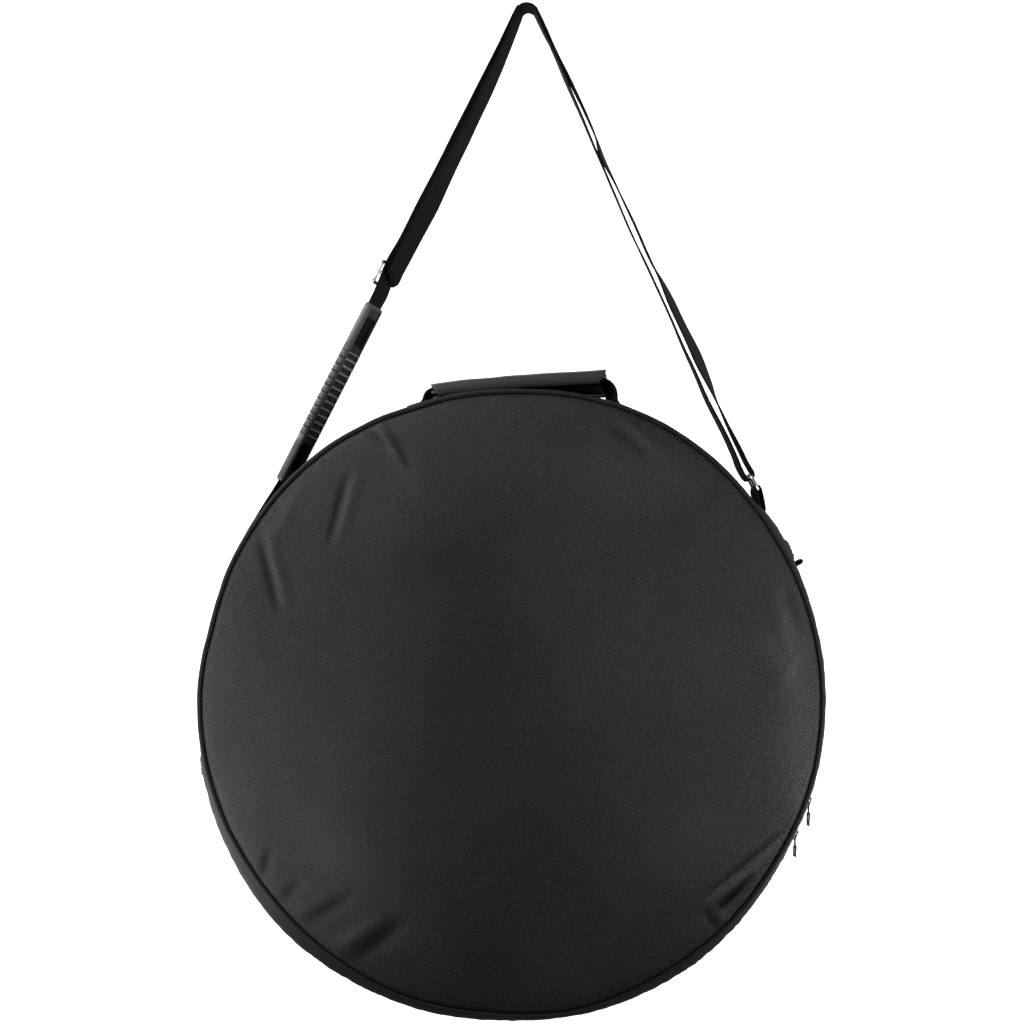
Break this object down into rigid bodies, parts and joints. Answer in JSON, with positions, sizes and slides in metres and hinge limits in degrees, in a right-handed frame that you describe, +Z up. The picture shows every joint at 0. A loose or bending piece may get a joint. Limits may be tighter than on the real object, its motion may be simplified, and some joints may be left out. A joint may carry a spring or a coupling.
{
  "type": "tam-tam gong in carrying bag",
  "caption": "Round padded gong bag with zipped front flap, carry handle and adjustable shoulder strap, holding a bronze tam-tam.",
  "frame": {"origin": "centre of the back panel's flat outer face", "axes": "+Z up towards the strap, +Y out of the back panel, -Y out of the front, +X to the right seen from the front"},
  "size_m": [0.5286, 0.07, 0.8549],
  "materials": {
    "cover_cloth": "woven polyester, matt with a faint sheen",
    "piping_cloth": "woven cloth over cord",
    "padding_foam": "closed-cell foam",
    "lining_cloth": "smooth nylon lining",
    "zip_tape": "fine twill tape",
    "zip_coil": "nylon coil",
    "webbing": "ribbed woven webbing",
    "trim_cloth": "grosgrain ribbon",
    "chrome_wire": "polished",
    "slider_metal": "black lacquer, satin",
    "grip_plastic": "moulded, ribbed",
    "wrap_cloth": "smooth charcoal cloth",
    "hook_and_loop": "hook-and-loop pile",
    "gong_bronze": "hammered bronze, dark"
  },
  "bodies": {
    "strap": {"strap_apex_outer": "webbing", "strap_apex_inner": "webbing", "strap_right_outer": "webbing", "strap_right_inner": "webbing", "strap_ring_turn": "webbing", "strap_left_long": "webbing", "strap_left_doubled": "webbing", "ring_right": "chrome_wire"},
    "bag": {"back_panel": "cover_cloth", "back_padding": "padding_foam", "back_lining": "lining_cloth", "piping_back": "piping_cloth", "front_panel_upper": "cover_cloth", "front_padding_upper": "padding_foam", "front_lining_upper": "lining_cloth", "piping_front_upper": "piping_cloth", "gusset_upper": "cover_cloth", "gusset_padding_upper": "padding_foam", "gusset_back_strip": "cover_cloth", "gusset_padding_back": "padding_foam", "zip_tape_back": "zip_tape", "zip_coil_back": "zip_coil", "zip_end_patch_right": "trim_cloth", "zip_end_patch_left": "trim_cloth", "zip_end_tab": "trim_cloth", "gong": "gong_bronze", "ring_tab": "webbing", "strap_patch_left": "webbing", "handle_patch_left": "webbing", "handle_patch_right": "webbing"},
    "flap": {"front_panel_flap": "cover_cloth", "front_padding_flap": "padding_foam", "front_lining_flap": "lining_cloth", "piping_front_flap": "piping_cloth", "gusset_front_strip": "cover_cloth", "gusset_padding_front": "padding_foam", "zip_tape_front": "zip_tape", "zip_coil_front": "zip_coil"},
    "slider_upper": {"slider_upper": "slider_metal"},
    "slider_lower": {"slider_lower": "slider_metal"},
    "pull_upper": {"pull_upper": "slider_metal", "ribbon_upper": "trim_cloth"},
    "pull_lower": {"pull_lower": "slider_metal", "ribbon_lower": "trim_cloth"},
    "handle": {"handle_webbing": "webbing", "handle_foam": "padding_foam", "wrap_sleeve": "wrap_cloth", "loop_strip": "hook_and_loop"},
    "wrap_cover": {"wrap_cover": "wrap_cloth", "hook_strip": "hook_and_loop"},
    "tri_glide": {"tri_glide": "chrome_wire", "strap_sewn_end": "webbing"},
    "grip": {"grip": "grip_plastic"}
  },
  "joints": [
    {"name": "bag_swing", "type": "hinge", "parent": "strap", "child": "bag", "pos_m": [0, -0.035, 0.181], "axis": [1, 0, 0], "range_deg": [-12, 12]},
    {"name": "flap_open", "type": "hinge", "parent": "bag", "child": "flap", "pos_m": [-0.00905, -0.07, 0.02453], "axis": [-0.9382, 0, -0.3461], "range_deg": [0, 80]},
    {"name": "slider_upper_run", "type": "hinge", "parent": "bag", "child": "slider_upper", "pos_m": [0, -0.035, 0], "axis": [0, -1, 0], "range_deg": [0, 41]},
    {"name": "slider_lower_run", "type": "hinge", "parent": "bag", "child": "slider_lower", "pos_m": [0, -0.035, 0], "axis": [0, 1, 0], "range_deg": [0, 137]},
    {"name": "pull_upper_swing", "type": "hinge", "parent": "slider_upper", "child": "pull_upper", "pos_m": [0.25127, -0.035, -0.08652], "axis": [0, -1, 0], "range_deg": [-17, 110]},
    {"name": "pull_lower_swing", "type": "hinge", "parent": "slider_lower", "child": "pull_lower", "pos_m": [0.23986, -0.035, -0.11441], "axis": [0, -1, 0], "range_deg": [-20, 75]},
    {"name": "handle_lift", "type": "slide", "parent": "bag", "child": "handle", "axis": [0, 0, 1], "range_m": [0, 0.026]},
    {"name": "wrap_open", "type": "hinge", "parent": "handle", "child": "wrap_cover", "pos_m": [-0.06691, -0.054, 0.26048], "axis": [0.999, 0, 0.0436], "range_deg": [0, 75]},
    {"name": "tri_glide_slide", "type": "slide", "parent": "strap", "child": "tri_glide", "axis": [0.4326, 0, 0.9016], "range_m": [-0.006, 0.15]},
    {"name": "grip_slide", "type": "slide", "parent": "strap", "child": "grip", "axis": [0.4326, 0, 0.9016], "range_m": [0, 0.008]}
  ]
}
